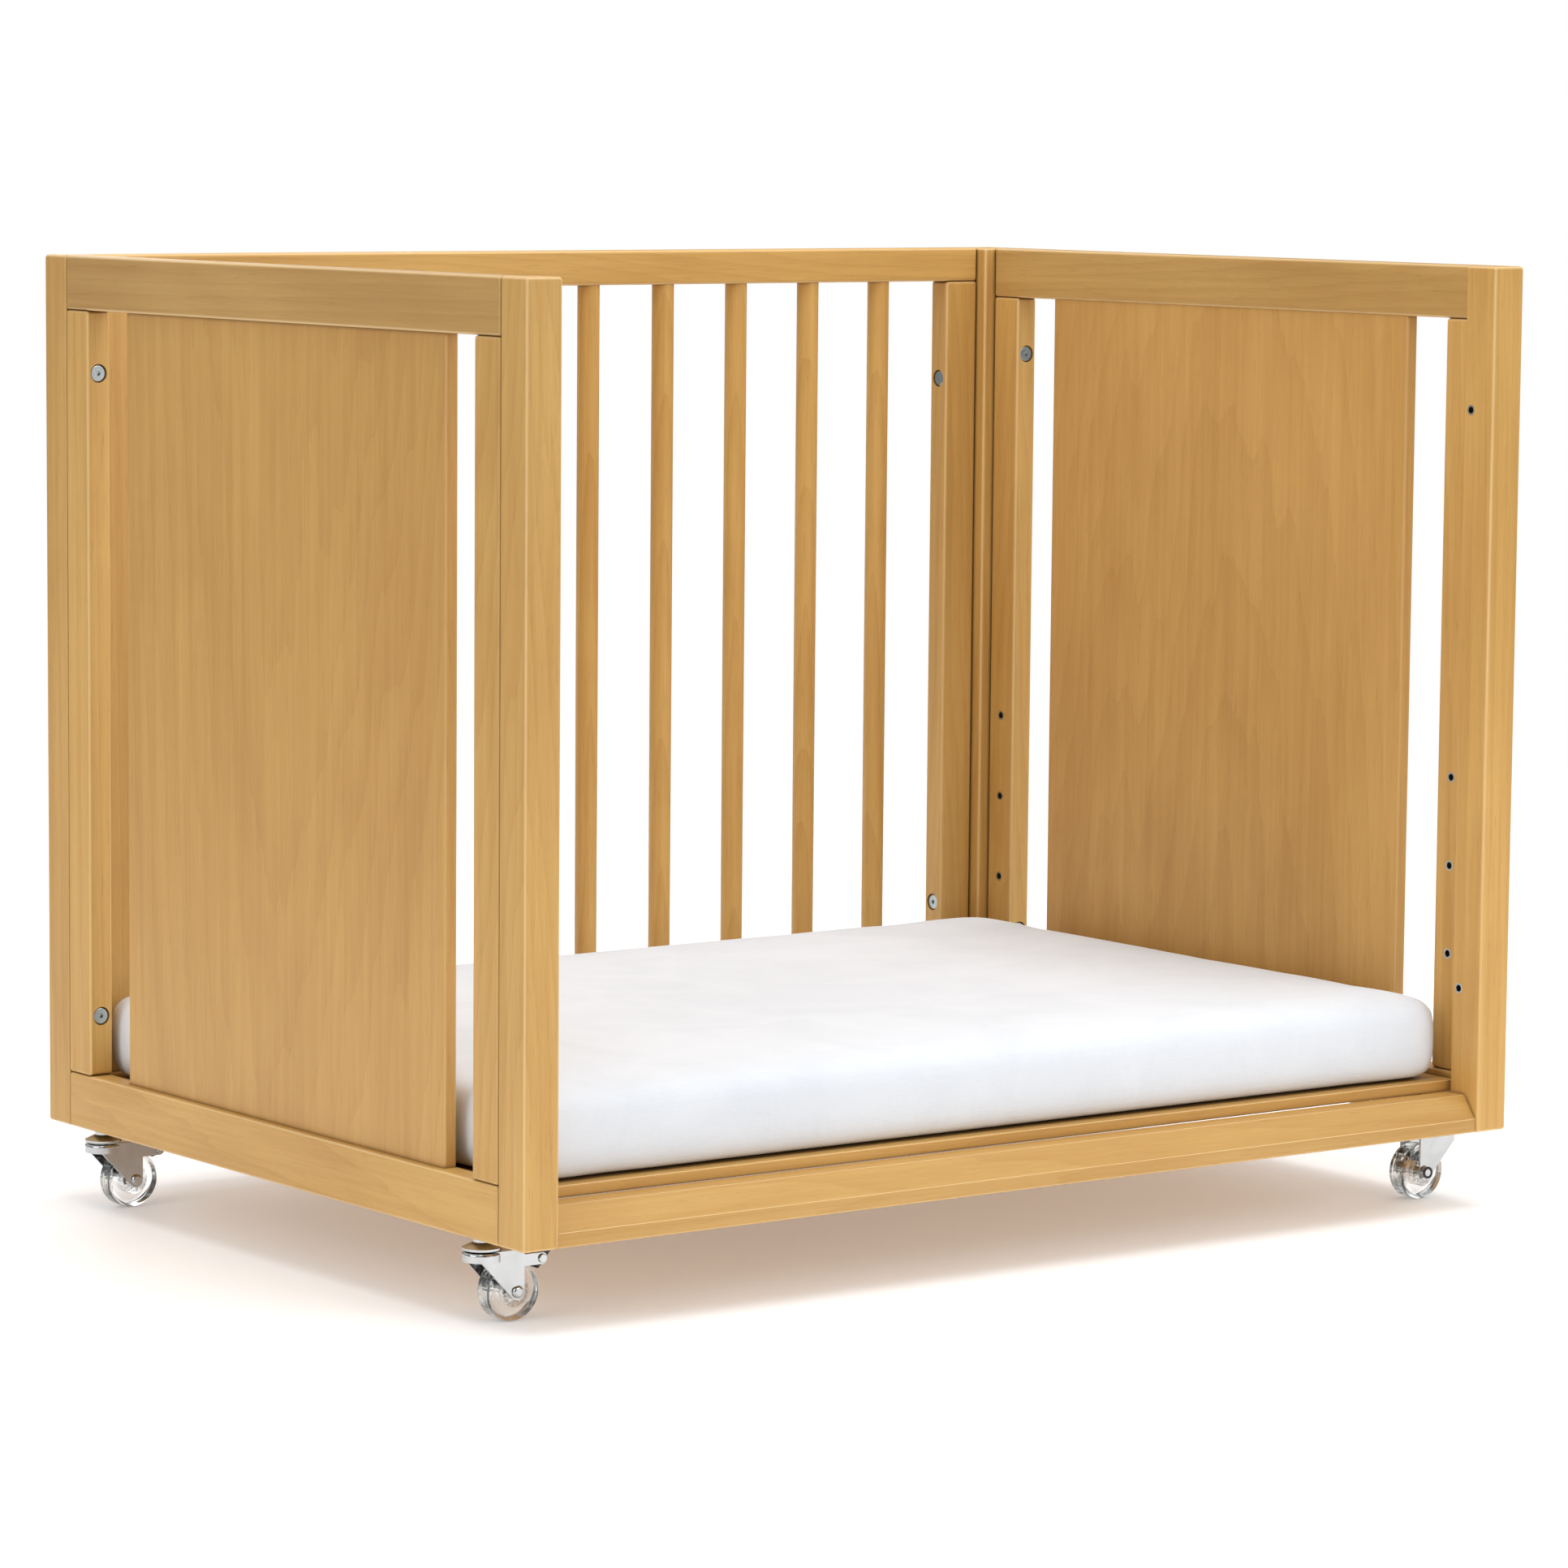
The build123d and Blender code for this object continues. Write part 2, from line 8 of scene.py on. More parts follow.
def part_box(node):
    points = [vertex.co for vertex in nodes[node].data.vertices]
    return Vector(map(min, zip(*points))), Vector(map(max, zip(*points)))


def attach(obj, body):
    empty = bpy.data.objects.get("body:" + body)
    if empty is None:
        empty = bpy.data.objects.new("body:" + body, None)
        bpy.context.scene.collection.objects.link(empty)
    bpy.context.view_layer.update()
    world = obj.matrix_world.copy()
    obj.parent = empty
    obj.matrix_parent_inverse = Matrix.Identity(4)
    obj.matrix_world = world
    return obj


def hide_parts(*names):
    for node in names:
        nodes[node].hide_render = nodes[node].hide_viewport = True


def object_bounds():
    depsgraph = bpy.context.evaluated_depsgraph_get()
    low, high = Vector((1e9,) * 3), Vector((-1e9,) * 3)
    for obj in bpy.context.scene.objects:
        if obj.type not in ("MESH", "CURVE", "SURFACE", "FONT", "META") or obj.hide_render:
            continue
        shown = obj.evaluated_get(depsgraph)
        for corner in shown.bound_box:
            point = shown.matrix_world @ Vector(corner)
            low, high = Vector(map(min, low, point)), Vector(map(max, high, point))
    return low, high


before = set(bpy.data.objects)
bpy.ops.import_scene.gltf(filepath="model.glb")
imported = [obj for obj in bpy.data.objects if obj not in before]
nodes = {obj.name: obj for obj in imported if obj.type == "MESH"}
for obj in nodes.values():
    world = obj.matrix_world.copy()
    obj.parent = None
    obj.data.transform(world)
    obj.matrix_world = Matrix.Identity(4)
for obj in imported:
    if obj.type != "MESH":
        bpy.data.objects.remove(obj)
cad_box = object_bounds()

# ---------------------------------------------------------------- numbers
CAMERA_PLACE = (-2.9849, -4.0584, 0.9267)
CAMERA_TURN = (36.363, -6.402, -0.492)        # degrees: yaw from +Y to +X, tilt, roll
CAMERA_LENS = 136.32                          # mm
SENSOR = 36.0                                 # mm

FLOOR_RADIUS = 9.0
FLOOR_FADE = (1.3, 4.2)                       # metres from the middle: solid, gone
FLOOR_GAP = 0.0002                            # floor below the wheels
FLOOR_GLOW = 0.22                             # lifts the floor to the paper white of a studio sweep

MATTRESS_VOXEL = 0.007
MATTRESS_START = 0.001                        # the simulated mattress starts this much smaller
MATTRESS_CAP = 0.005                          # and no point of it moves further than this
MATTRESS_EDGE = 0.014                         # radius of the top and bottom edges
MATTRESS_CORNER = 0.024                       # radius of the upright corners
EDGE_STEPS, CORNER_STEPS = 5, 8
CLOTH_PRESSURE = 4.0
CLOTH_STIFFNESS, CLOTH_BENDING = 25.0, 2.0
CLOTH_QUALITY = 4
CLOTH_FRAMES = 20
RELAX_PASSES = 8

NUT_RING_IN = 0.0002                          # nylon ring's middle in from the nut's end
NUT_RING_RADIUS, NUT_RING_TUBE = 0.0043, 0.0010
RING_AROUND, RING_SECTION = 40, 12            # faces round the ring and round its tube
PEDAL_SLOPE, PEDAL_TRAVEL = -8.1, 30.0        # degrees: the blade's fall outwards, released; its travel
PEDAL_TIP_IN = 0.0006                         # blade's upper edge in from the pedal's box
PEDAL_TIP_RISE = 0.0045                       # and up from the bottom of the box, trodden down
PEDAL_RIBS = 4
RIB_WIDE, RIB_HIGH, RIB_STEPS = 0.0014, 0.0008, 6
RIB_SHORT = 0.003                             # blade's width less a rib's length
RIB_FIRST, RIB_PITCH = 0.0015, 0.0026         # from the tip along the blade

JOINT_REACH = 0.0045                          # joints and corners tighter than this get painted shade
JOINT_SAMPLES = 6
JOINT_PAINTED_SHADE = (0.075, 0.036, 0.012, 1.0)      # painted shade in tight joints and corners
JOINT_SHADE_STRENGTH = 0.7
PAINTED_EDGE_HIGHLIGHT = (0.86, 0.63, 0.33, 1.0)           # painted highlight on rounded edges


# ---------------------------------------------------------------- shader helpers
def new_material(name):
    """An empty node material and its Principled shader."""
    material = bpy.data.materials.new(name)
    material.use_nodes = True
    tree = material.node_tree
    tree.nodes.clear()
    output = tree.nodes.new("ShaderNodeOutputMaterial")
    shader = tree.nodes.new("ShaderNodeBsdfPrincipled")
    tree.links.new(shader.outputs[0], output.inputs["Surface"])
    return material, tree, shader


def put(tree, socket, value):
    """Links a socket to a socket, or sets it to a plain value."""
    if isinstance(value, bpy.types.NodeSocket):
        tree.links.new(value, socket)
    else:
        socket.default_value = value


def make(tree, kind, inputs=(), **settings):
    """A node with its settings and inputs; inputs maps a socket's name or number to its value."""
    made = tree.nodes.new("ShaderNode" + kind)
    for key, value in settings.items():
        setattr(made, key, value)
    for key, value in dict(inputs).items():
        put(tree, made.inputs[key], value)
    return made


def maths(tree, operation, a, b=0.0, c=0.0):
    """One Math node on single values."""
    return make(tree, "Math", {0: a, 1: b, 2: c}, operation=operation).outputs[0]


def vector_maths(tree, operation, a, b=(0, 0, 0)):
    """One VectorMath node with a vector result."""
    return make(tree, "VectorMath", {0: a, 1: b}, operation=operation).outputs[0]


def noise(tree, vector, scale, detail=2.0, roughness=0.5, distortion=0.0):
    """The value of a noise texture, about 0.5 on average."""
    made = make(
        tree,
        "TexNoise",
        {
            "Vector": vector,
            "Scale": scale,
            "Detail": detail,
            "Roughness": roughness,
            "Distortion": distortion,
        },
    )
    return made.outputs["Fac"]


def spread(tree, value, low, high, to_low=0.0, to_high=1.0):
    """The value mapped from low..high to to_low..to_high, clamped."""
    inputs = {0: value, 1: low, 2: high, 3: to_low, 4: to_high}
    return make(tree, "MapRange", inputs, clamp=True).outputs[0]


def blend_colour(tree, factor, a, b):
    """Colour a at factor 0, colour b at factor 1."""
    made = tree.nodes.new("ShaderNodeMix")
    made.data_type = "RGBA"
    for index, value in ((0, factor), (6, a), (7, b)):
        put(tree, made.inputs[index], value)
    return made.outputs[2]


def ramp(tree, factor, stops):
    """A colour read off a ramp; stops are (position, colour) pairs."""
    made = make(tree, "ValToRGB", {0: factor})
    elements = made.color_ramp.elements
    while len(elements) < len(stops):
        elements.new(0.5)
    for element, (position, colour) in zip(elements, stops):
        element.position = position
        element.color = colour
    return made.outputs[0]


def bump(tree, height, strength, distance, normal=None):
    """A normal from a height, on top of another normal when one is given."""
    inputs = {"Height": height, "Strength": strength, "Distance": distance}
    if normal is not None:
        inputs["Normal"] = normal
    return make(tree, "Bump", inputs).outputs[0]


def from_display(red, green, blue):
    """A linear colour from 0..255 display values."""
    linear = []
    for value in (red, green, blue):
        share = value / 255
        linear.append(share / 12.92 if share <= 0.04045 else ((share + 0.055) / 1.055) ** 2.4)
    return (*linear, 1.0)


def stretched(tree, vector, across, along):
    """Grain coordinates scaled across and along the grain."""
    return vector_maths(tree, "MULTIPLY", vector, (across, across, along))


# ---------------------------------------------------------------- materials
def edge_share(tree, chamfered):
    """How far the surface is turned away from all three axes: 0 on flat faces, more on rounded
    edges. On a chamfered timber the chamfer itself counts as flat too."""
    turned = vector_maths(tree, "ABSOLUTE", make(tree, "TexCoord").outputs["Normal"])
    parts = make(tree, "SeparateXYZ", {0: turned}).outputs
    flattest = maths(tree, "MAXIMUM", maths(tree, "MAXIMUM", parts[0], parts[1]), parts[2])
    if chamfered:
        off_faces = spread(tree, flattest, 0.99, 0.95)
        off_chamfer = spread(tree, flattest, 0.84, 0.90)
        return maths(tree, "MULTIPLY", off_faces, off_chamfer)
    return spread(tree, flattest, 0.985, 0.80)


def openness(tree, reach, samples):
    """1 on open surfaces, falling towards 0 in joints and corners narrower than reach."""
    return make(tree, "AmbientOcclusion", {"Distance": reach}, samples=samples).outputs["AO"]


def wood_material(name, grain, light, dark, figure=1.0, edge_highlight=0.0, chamfered=False):
    """Wood with a honey stain under satin lacquer. grain is the axis that the fibres follow, and
    edge_highlight is how strong the painted highlight along rounded edges is; tight joints and corners
    get painted shade."""
    material, tree, shader = new_material(name)
    place = make(tree, "TexCoord").outputs["Object"]
    split = make(tree, "SeparateXYZ", {0: place}).outputs
    order = {"x": (1, 2, 0), "y": (2, 0, 1), "z": (0, 1, 2)}[grain]
    turned = make(tree, "CombineXYZ", {i: split[axis] for i, axis in enumerate(order)}).outputs[0]
    chance = make(tree, "ObjectInfo").outputs["Random"]
    jump = {0: chance, 1: maths(tree, "MULTIPLY", chance, 3.7), 2: maths(tree, "MULTIPLY", chance, 11.0)}
    board = vector_maths(tree, "ADD", turned, make(tree, "CombineXYZ", jump).outputs[0])

    warp = noise(tree, stretched(tree, board, 7.0, 1.1), 1.0, 3.0, 0.55)
    sway = maths(tree, "MULTIPLY", maths(tree, "SUBTRACT", warp, 0.5), 0.055)
    bent = vector_maths(tree, "ADD", turned, make(tree, "CombineXYZ", {0: sway, 1: sway}).outputs[0])
    tilt = maths(tree, "MULTIPLY", make(tree, "SeparateXYZ", {0: bent}).outputs[2], 0.045)
    ring_place = vector_maths(tree, "ADD", bent, make(tree, "CombineXYZ", {0: tilt, 1: tilt}).outputs[0])
    rings = make(
        tree,
        "TexWave",
        {
            "Vector": stretched(tree, ring_place, 1.0, 0.0),
            "Scale": 34.0,
            "Distortion": 1.4,
            "Detail": 3.0,
            "Detail Scale": 2.0,
            "Detail Roughness": 0.6,
        },
        wave_type="RINGS",
        rings_direction="Z",
        wave_profile="SAW",
    ).outputs["Fac"]
    streaks = noise(tree, stretched(tree, board, 95.0, 2.4), 1.0, 4.0, 0.6, 0.4)
    fibres = noise(tree, stretched(tree, board, 780.0, 16.0), 1.0, 3.0, 0.6)
    cloud = noise(tree, stretched(tree, board, 9.0, 3.2), 1.0, 3.0, 0.5, 0.6)
    pores = noise(tree, stretched(tree, board, 1500.0, 42.0), 1.0, 1.0, 0.5)
    pore_mask = spread(tree, pores, 0.66, 0.74)

    latewood = maths(tree, "POWER", rings, 2.2)
    shade = maths(tree, "MULTIPLY", latewood, 0.17 * figure)
    for layer, weight in (
        (spread(tree, streaks, 0.3, 0.75), 0.34 * figure),
        (spread(tree, fibres, 0.25, 0.8), 0.22),
        (spread(tree, cloud, 0.3, 0.7), 0.34),
    ):
        shade = maths(tree, "MULTIPLY_ADD", layer, weight, shade)
    middle = tuple((a + b) / 2 for a, b in zip(light, dark))
    colour = ramp(tree, shade, ((0.08, light), (0.52, middle), (0.98, dark)))
    deep = tuple(channel * 0.55 for channel in dark[:3]) + (1.0,)
    colour = blend_colour(tree, maths(tree, "MULTIPLY", pore_mask, 0.30), colour, deep)
    tone = maths(tree, "MULTIPLY_ADD", chance, 0.10, 0.95)
    colour = make(tree, "VectorMath", {0: colour, "Scale": tone}, operation="SCALE").outputs[0]
    open_share = openness(tree, JOINT_REACH, JOINT_SAMPLES)
    # painted highlight: rounded edges are lightened towards a pale colour, except in the joints
    if edge_highlight:
        patchy = spread(tree, streaks, 0.2, 0.6, 0.6, 1.0)
        wear_and_highlight = maths(tree, "MULTIPLY", edge_share(tree, chamfered), patchy)
        wear_and_highlight = maths(tree, "MULTIPLY", wear_and_highlight, spread(tree, open_share, 0.80, 0.97))
        colour = blend_colour(tree, maths(tree, "MULTIPLY", wear_and_highlight, edge_highlight), colour, PAINTED_EDGE_HIGHLIGHT)
    # painted shade: the colour darkens where ambient occlusion finds tight joints and corners
    painted_shade = spread(tree, open_share, 0.78, 0.42, 0.0, JOINT_SHADE_STRENGTH)
    put(tree, shader.inputs["Base Color"], blend_colour(tree, painted_shade, colour, JOINT_PAINTED_SHADE))

    satin = spread(tree, streaks, 0.2, 0.8, 0.36, 0.46)
    put(tree, shader.inputs["Roughness"], maths(tree, "MULTIPLY_ADD", pore_mask, 0.12, satin))
    height = maths(tree, "MULTIPLY_ADD", fibres, 0.5, maths(tree, "MULTIPLY", latewood, 0.35))
    height = maths(tree, "SUBTRACT", height, maths(tree, "MULTIPLY", pore_mask, 0.6))
    fine = bump(tree, height, 0.22, 0.00035)
    lacquer = noise(tree, place, 26.0, 2.0, 0.5)
    put(tree, shader.inputs["Normal"], bump(tree, lacquer, 0.05, 0.004, fine))
    shader.inputs["Specular IOR Level"].default_value = 0.32
    shader.inputs["Coat Weight"].default_value = 0.14
    shader.inputs["Coat Roughness"].default_value = 0.28
    shader.inputs["Coat IOR"].default_value = 1.5
    return material


def metal_material(name, colour, rough, brushed, waves, spots=0.0):
    """Plated steel with a fine directional finish, faint smears, small pits and pressing waves.
    brushed and waves are bump strengths; spots is how dark the pits are."""
    material, tree, shader = new_material(name)
    place = make(tree, "TexCoord").outputs["Object"]
    smear = noise(tree, place, 55.0, 4.0, 0.6, 0.8)
    grind = noise(tree, vector_maths(tree, "MULTIPLY", place, (400.0, 3000.0, 3000.0)), 1.0, 2.0, 0.6)
    pits = spread(tree, noise(tree, place, 1400.0, 1.0), 0.70, 0.78)
    dull = tuple(channel * 0.80 for channel in colour[:3]) + (1.0,)
    tint = blend_colour(tree, spread(tree, smear, 0.35, 0.75, 0.0, 0.55), colour, dull)
    tint = blend_colour(tree, maths(tree, "MULTIPLY", pits, spots), tint, (0.16, 0.15, 0.14, 1.0))
    put(tree, shader.inputs["Base Color"], tint)
    put(tree, shader.inputs["Roughness"], spread(tree, smear, 0.3, 0.8, rough * 0.75, rough * 1.5))
    pitted = maths(tree, "MULTIPLY", pits, 0.8)
    height = maths(tree, "SUBTRACT", maths(tree, "MULTIPLY", grind, 0.6), pitted)
    pressed = bump(tree, noise(tree, place, 34.0, 1.0, 0.4), waves, 0.003)
    put(tree, shader.inputs["Normal"], bump(tree, height, brushed, 0.00012, pressed))
    shader.inputs["Metallic"].default_value = 1.0
    return material


def clear_material(name, tint, rough, waviness):
    """Clear moulded plastic with flow waves, fine scuffs and a faint tint."""
    material, tree, shader = new_material(name)
    place = make(tree, "TexCoord").outputs["Object"]
    flow = noise(tree, place, 42.0, 3.0, 0.5, 0.6)
    scuffs = noise(tree, vector_maths(tree, "MULTIPLY", place, (900.0, 140.0, 900.0)), 1.0, 3.0, 0.6)
    put(tree, shader.inputs["Roughness"], spread(tree, scuffs, 0.45, 0.8, rough, rough + 0.10))
    warm = tuple(channel * 0.96 for channel in tint[:3]) + (1.0,)
    put(tree, shader.inputs["Base Color"], blend_colour(tree, spread(tree, flow, 0.3, 0.7), tint, warm))
    rippled = bump(tree, flow, waviness, 0.002)
    put(tree, shader.inputs["Normal"], bump(tree, scuffs, 0.04, 0.0002, rippled))
    shader.inputs["Transmission Weight"].default_value = 1.0
    shader.inputs["IOR"].default_value = 1.49
    return material


def moulded_material(name, colour, rough):
    """Moulded nylon with a spark-eroded grain and lighter patches worn by rubbing."""
    material, tree, shader = new_material(name)
    place = make(tree, "TexCoord").outputs["Object"]
    grain = make(tree, "TexVoronoi", {"Vector": place, "Scale": 1500.0}).outputs["Distance"]
    wear_and_highlight = spread(tree, noise(tree, place, 90.0, 4.0, 0.6), 0.45, 0.75)
    worn = tuple(min(1.0, channel * 1.7 + 0.012) for channel in colour[:3]) + (1.0,)
    put(tree, shader.inputs["Base Color"], blend_colour(tree, wear_and_highlight, colour, worn))
    put(tree, shader.inputs["Roughness"], spread(tree, wear_and_highlight, 0.0, 1.0, rough, rough - 0.14))
    put(tree, shader.inputs["Normal"], bump(tree, grain, 0.22, 0.0003))
    return material


def cover_material(name, colour, shade_and_slub_colour):
    """Fine woven mattress cover: crossed threads, slubs, soft creases and a little sheen. The slubs are
    darker, and the creases carry painted shade.
    """
    material, tree, shader = new_material(name)
    place = make(tree, "TexCoord").outputs["Object"]
    heights = []
    for axis in ("X", "Y", "Z"):
        wave = make(
            tree,
            "TexWave",
            {"Vector": place, "Scale": 190.0, "Distortion": 0.5, "Detail": 1.0, "Detail Scale": 3.0},
            wave_type="BANDS",
            bands_direction=axis,
        )
        heights.append(wave.outputs["Fac"])
    weave = maths(tree, "MULTIPLY", maths(tree, "ADD", heights[0], heights[1]), 0.5)
    weave = maths(tree, "MULTIPLY_ADD", heights[2], 0.5, weave)
    slubs = noise(tree, vector_maths(tree, "MULTIPLY", place, (60.0, 900.0, 900.0)), 1.0, 2.0, 0.6)
    creases = noise(tree, place, 11.0, 4.0, 0.55, 0.8)
    fuzz = noise(tree, place, 2200.0, 1.0)
    # painted shade along the creases, and darker slubs
    shade = maths(tree, "MULTIPLY", spread(tree, creases, 0.35, 0.7), 0.5)
    shade = maths(tree, "MULTIPLY_ADD", spread(tree, slubs, 0.5, 0.8), 0.3, shade)
    put(tree, shader.inputs["Base Color"], blend_colour(tree, shade, colour, shade_and_slub_colour))
    put(tree, shader.inputs["Roughness"], spread(tree, fuzz, 0.2, 0.8, 0.80, 0.92))
    coarse = bump(tree, creases, 0.10, 0.010)
    threads = maths(tree, "MULTIPLY_ADD", slubs, 0.4, weave)
    put(tree, shader.inputs["Normal"], bump(tree, threads, 0.16, 0.0004, coarse))
    shader.inputs["Sheen Weight"].default_value = 0.12
    shader.inputs["Sheen Roughness"].default_value = 0.5
    shader.inputs["Specular IOR Level"].default_value = 0.2
    return material


wood_light = from_display(214, 171, 99)
wood_dark = from_display(178, 130, 61)
panel_light = from_display(207, 162, 91)
panel_dark = from_display(174, 125, 60)
end_top_light = from_display(196, 157, 93)
end_top_dark = from_display(163, 121, 61)
stretcher_light = from_display(206, 165, 97)
# the sixth argument is the strength of the painted highlight on rounded edges; on the stretcher it lines
# the ridges beside the chamfer
woods = {
    "upright": wood_material("honey_wood_upright", "z", wood_light, wood_dark, 0.9, 0.55),
    "spindle": wood_material("honey_wood_spindle", "z", wood_light, wood_dark, 1.1),
    "panel": wood_material("honey_wood_panel", "z", panel_light, panel_dark, 0.8, 0.3),
    "lengthwise": wood_material("honey_wood_lengthwise", "x", wood_light, wood_dark, 0.9, 0.55),
    "stretcher": wood_material("honey_wood_stretcher", "x", stretcher_light, wood_dark, 0.9, 0.9, True),
    "crosswise": wood_material("honey_wood_crosswise", "y", wood_light, wood_dark, 0.9, 0.55),
    "end_top": wood_material("honey_wood_end_top", "y", end_top_light, end_top_dark, 0.9, 0.55),
}
chrome = metal_material("bright_plated_steel", (0.54, 0.55, 0.55, 1.0), 0.11, 0.05, 0.55)
zinc = metal_material("zinc_plated_steel", (0.50, 0.54, 0.53, 1.0), 0.28, 0.16, 0.1, 0.35)
clear_tyre = clear_material("clear_tyre", (0.97, 0.98, 0.97, 1.0), 0.03, 0.10)
clear_hub = clear_material("clear_hub", (0.95, 0.97, 0.97, 1.0), 0.06, 0.16)
black = moulded_material("black_nylon", (0.020, 0.020, 0.022, 1.0), 0.52)
cover = cover_material("woven_cover", from_display(225, 229, 234), from_display(212, 217, 223))

# ---------------------------------------------------------------- materials onto the CAD nodes
lengthwise = ("back_top_rail", "back_bottom_rail", "mattress_board", "frame_dowels")
for name, item in nodes.items():
    if name == "front_stretcher":
        chosen = woods["stretcher"]
    elif name.endswith("_spindles"):
        chosen = woods["spindle"]
    elif name.endswith("_end_top_rail"):
        chosen = woods["end_top"]
    elif name in lengthwise:
        chosen = woods["lengthwise"]
    elif name.endswith(("_top_rail", "_bottom_rail", "_ledge")):
        chosen = woods["crosswise"]
    elif name.endswith("_panel"):
        chosen = woods["panel"]
    elif name.endswith(("_post", "_stile")):
        chosen = woods["upright"]
    elif name.endswith(("_stem", "_fork", "_axle", "_pin")):
        chosen = chrome
    elif name.endswith("_tyre"):
        chosen = clear_tyre
    elif name.endswith("_hub"):
        chosen = clear_hub
    elif name.endswith(("_pedal", "_sockets")):
        chosen = black
    elif name == "mattress":
        chosen = cover
    else:
        chosen = zinc
    item.data.materials.clear()
    item.data.materials.append(chosen)


# ---------------------------------------------------------------- mattress
def rounded_outline(half_x, half_y, radius, steps):
    """Points round a rectangle with rounded corners, counter-clockwise."""
    points = []
    for quarter, (sx, sy) in enumerate(((1, 1), (-1, 1), (-1, -1), (1, -1))):
        for step in range(steps + 1):
            angle = math.radians(90 * (quarter + step / steps))
            x = sx * (half_x - radius) + radius * math.cos(angle)
            y = sy * (half_y - radius) + radius * math.sin(angle)
            points.append((x, y))
    return points


def mattress_shell(low, high, edge, corner):
    """A closed block with rounded corners and rounded top and bottom edges."""
    centre = (low + high) / 2
    half = (high - low) / 2
    levels = []
    for end in (-1, 1):
        turns = range(EDGE_STEPS + 1) if end < 0 else range(EDGE_STEPS, -1, -1)
        for turn in turns:
            angle = math.radians(90 * turn / EDGE_STEPS)
            inset = edge * (1 - math.sin(angle))
            height = end * (half.z - edge * (1 - math.cos(angle)))
            levels.append((inset, height))
    shell = bmesh.new()
    rings = []
    for inset, height in levels:
        outline = rounded_outline(half.x - inset, half.y - inset, corner - inset, CORNER_STEPS)
        ring = [shell.verts.new(centre + Vector((x, y, height))) for x, y in outline]
        rings.append(ring)
    for lower, upper in zip(rings, rings[1:]):
        count = len(lower)
        for i in range(count):
            j = (i + 1) % count
            shell.faces.new((lower[i], lower[j], upper[j], upper[i]))
    shell.faces.new(list(reversed(rings[0])))
    shell.faces.new(rings[-1])
    mesh = bpy.data.meshes.new("mattress_cover")
    shell.to_mesh(mesh)
    shell.free()
    return mesh


def apply_modifiers(item):
    """Turns what the modifiers make into the object's own mesh."""
    view = bpy.context.evaluated_depsgraph_get()
    finished = bpy.data.meshes.new_from_object(item.evaluated_get(view))
    item.modifiers.clear()
    item.data = finished


def plump(item, low, high):
    """Swells the cover by cloth simulation, then lets no point move too far, sink into the board
    or reach the frames beside it."""
    before = [vertex.co.copy() for vertex in item.data.vertices]
    scene = bpy.context.scene
    cloth = item.modifiers.new("cloth", "CLOTH")
    settings = cloth.settings
    settings.use_pressure = True
    settings.uniform_pressure_force = CLOTH_PRESSURE
    settings.effector_weights.gravity = 0.0
    settings.tension_stiffness = CLOTH_STIFFNESS
    settings.compression_stiffness = CLOTH_STIFFNESS
    settings.bending_stiffness = CLOTH_BENDING
    settings.quality = CLOTH_QUALITY
    cloth.collision_settings.use_collision = False
    for number in range(1, CLOTH_FRAMES + 1):
        scene.frame_set(number)
    view = bpy.context.evaluated_depsgraph_get()
    swollen = [vertex.co.copy() for vertex in item.evaluated_get(view).data.vertices]
    item.modifiers.remove(cloth)
    scene.frame_set(1)
    for vertex, start, end in zip(item.data.vertices, before, swollen):
        move = end - start
        if move.length > MATTRESS_CAP:
            move *= MATTRESS_CAP / move.length
        vertex.co = start + move
        vertex.co.z = max(vertex.co.z, low.z)
        for axis in range(2):
            vertex.co[axis] = min(max(vertex.co[axis], low[axis]), high[axis])
    item.data.update()


low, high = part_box("mattress")
start_low = low + Vector((MATTRESS_START, MATTRESS_START, 0.0))
start_high = high - Vector((MATTRESS_START, MATTRESS_START, MATTRESS_START))
shell_mesh = mattress_shell(start_low, start_high, MATTRESS_EDGE, MATTRESS_CORNER)
mattress = bpy.data.objects.new("mattress_cover", shell_mesh)
bpy.context.scene.collection.objects.link(mattress)
remesh = mattress.modifiers.new("remesh", "REMESH")
remesh.mode = "VOXEL"
remesh.voxel_size = MATTRESS_VOXEL
apply_modifiers(mattress)
plump(mattress, low, high)
relax = mattress.modifiers.new("relax", "CORRECTIVE_SMOOTH")
relax.iterations = RELAX_PASSES
relax.use_only_smooth = True
smooth = mattress.modifiers.new("subdivision", "SUBSURF")
smooth.levels = 1
smooth.render_levels = 1
apply_modifiers(mattress)
for polygon in mattress.data.polygons:
    polygon.use_smooth = True
mattress.data.materials.clear()
mattress.data.materials.append(cover)
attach(mattress, "mattress")
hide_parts("mattress")


# ---------------------------------------------------------------- small pieces
def ring_mesh(name, radius, tube):
    """A round ring about the Y axis."""
    ring = bmesh.new()
    loops = []
    for i in range(RING_AROUND):
        angle = math.tau * i / RING_AROUND
        loop = []
        for k in range(RING_SECTION):
            turn = math.tau * k / RING_SECTION
            out = radius + tube * math.cos(turn)
            point = (out * math.cos(angle), tube * math.sin(turn), out * math.sin(angle))
            loop.append(ring.verts.new(point))
        loops.append(loop)
    for i in range(RING_AROUND):
        first, second = loops[i], loops[(i + 1) % RING_AROUND]
        for k in range(RING_SECTION):
            j = (k + 1) % RING_SECTION
            ring.faces.new((first[k], second[k], second[j], first[j]))
    bmesh.ops.recalc_face_normals(ring, faces=ring.faces)
    mesh = bpy.data.meshes.new(name)
    ring.to_mesh(mesh)
    ring.free()
    for polygon in mesh.polygons:
        polygon.use_smooth = True
    return mesh


